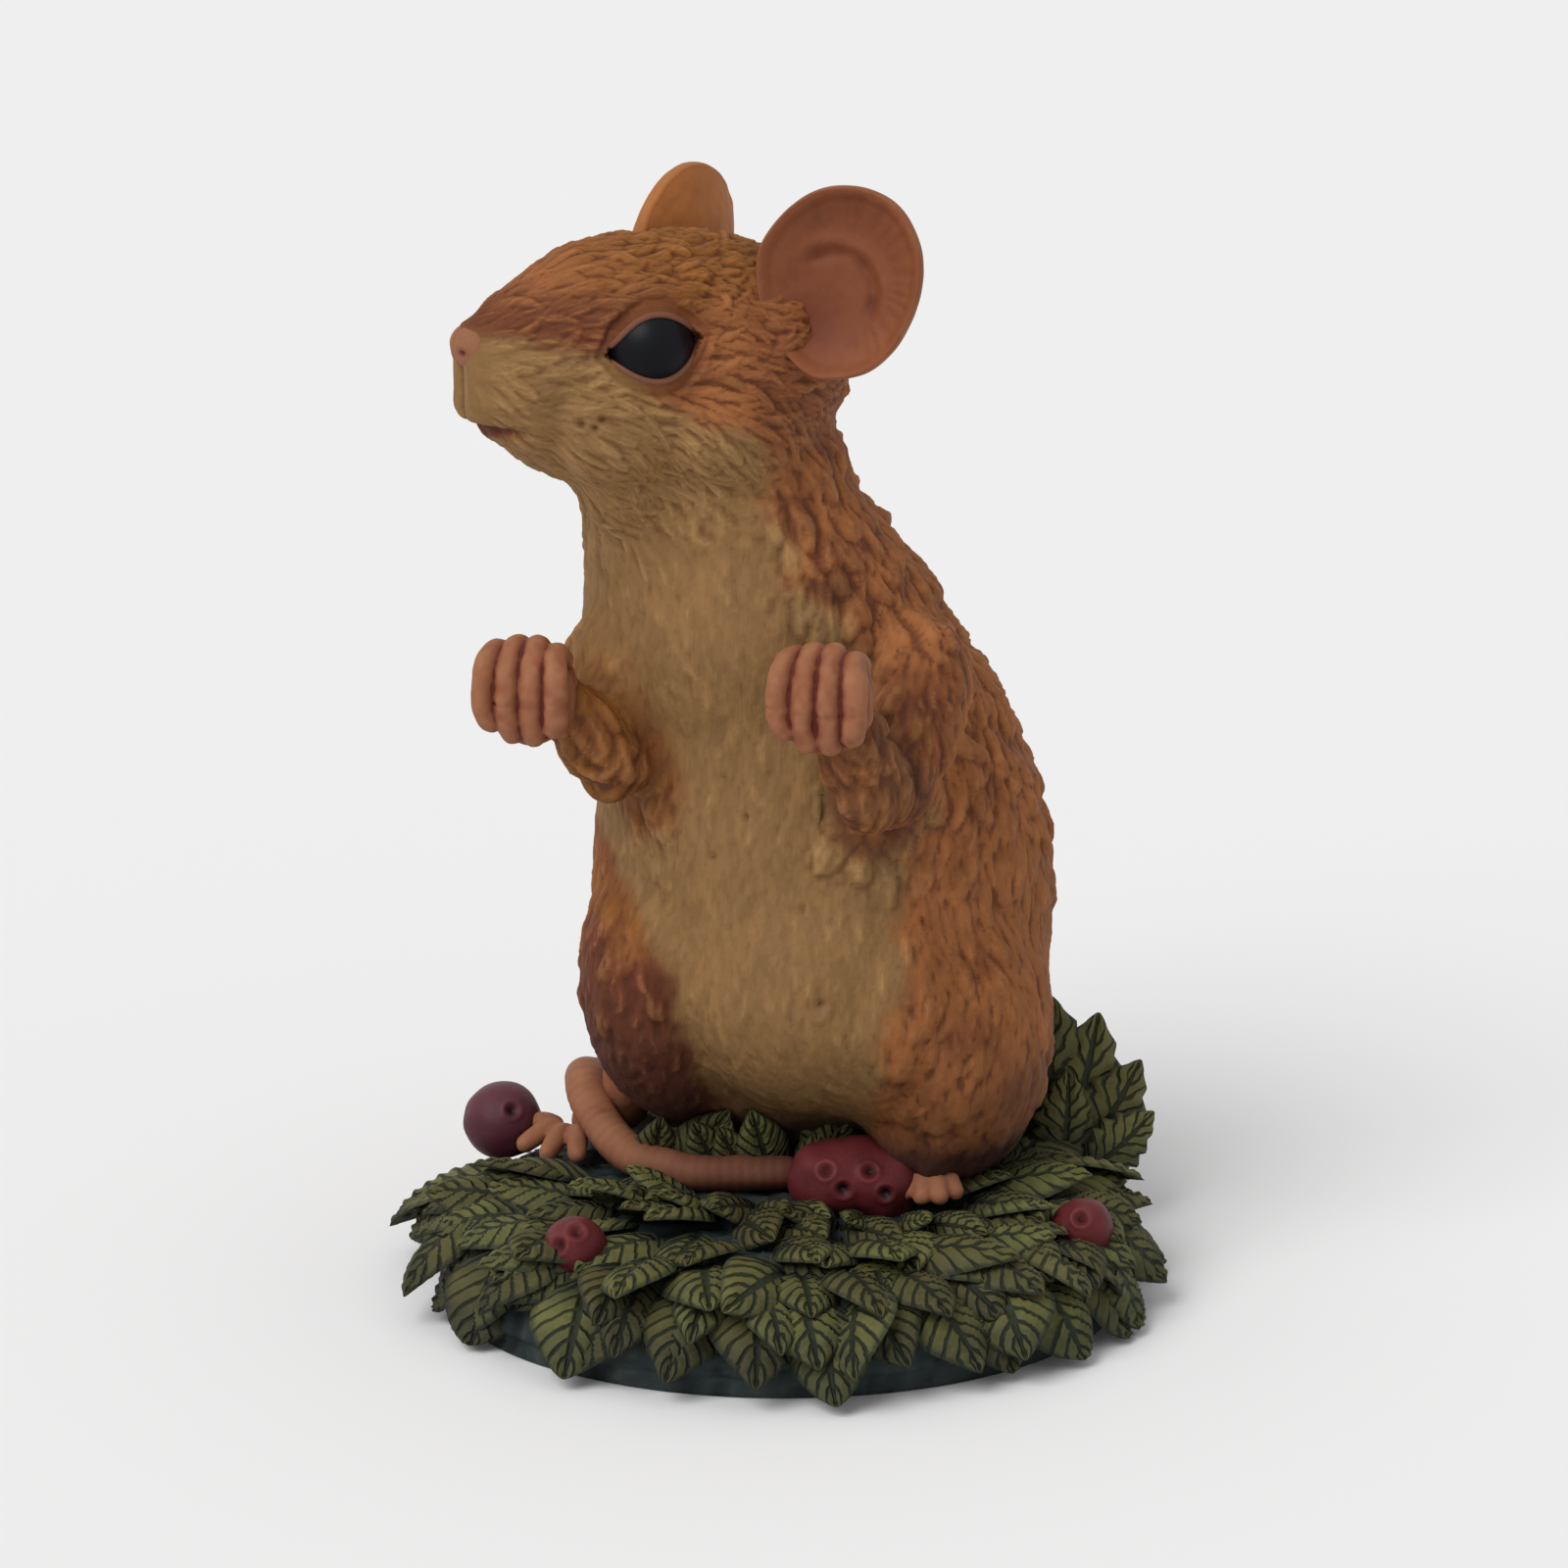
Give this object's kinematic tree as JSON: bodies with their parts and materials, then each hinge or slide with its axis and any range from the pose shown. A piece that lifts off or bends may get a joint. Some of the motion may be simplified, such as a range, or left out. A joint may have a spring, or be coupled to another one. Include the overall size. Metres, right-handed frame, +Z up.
{
  "type": "seated mouse figurine",
  "caption": "Painted cast resin mouse that sits up with raised paws on an oval mound of leaves and berries, a desk or shelf ornament.",
  "frame": {"origin": "centre of the flat underside of the mound", "axes": "+Z up; the viewer of the picture looks along +Y; +X is towards the mouse's left side"},
  "size_m": [0.0672, 0.0566, 0.0967],
  "materials": {
    "leaf_green": "hand-painted matt resin, dark green with a lighter dry-brushed green",
    "mound_green": "hand-painted matt resin, dark blue-green",
    "berry_red": "painted resin, satin dark red",
    "fur_brown": "hand-painted matt resin, golden brown and cream fur",
    "skin_pink": "hand-painted matt resin, pinkish tan skin",
    "eye_black": "painted resin, satin blue-black"
  },
  "bodies": {
    "root": {"mound": "mound_green", "leaf_skirt": "leaf_green", "leaf_shoulder": "leaf_green", "leaf_crown": "leaf_green", "leaf_sprig": "leaf_green", "front_berry": "berry_red", "back_berry": "berry_red", "side_berry": "berry_red", "berry_cluster": "berry_red", "torso": "fur_brown", "head": "fur_brown", "left_haunch": "fur_brown", "right_haunch": "fur_brown", "left_arm": "fur_brown", "right_arm": "fur_brown", "left_ear": "skin_pink", "right_ear": "skin_pink", "nose": "skin_pink", "left_paw": "skin_pink", "right_paw": "skin_pink", "left_foot": "skin_pink", "right_foot": "skin_pink", "tail": "skin_pink", "left_eye": "eye_black", "right_eye": "eye_black"}
  },
  "joints": []
}
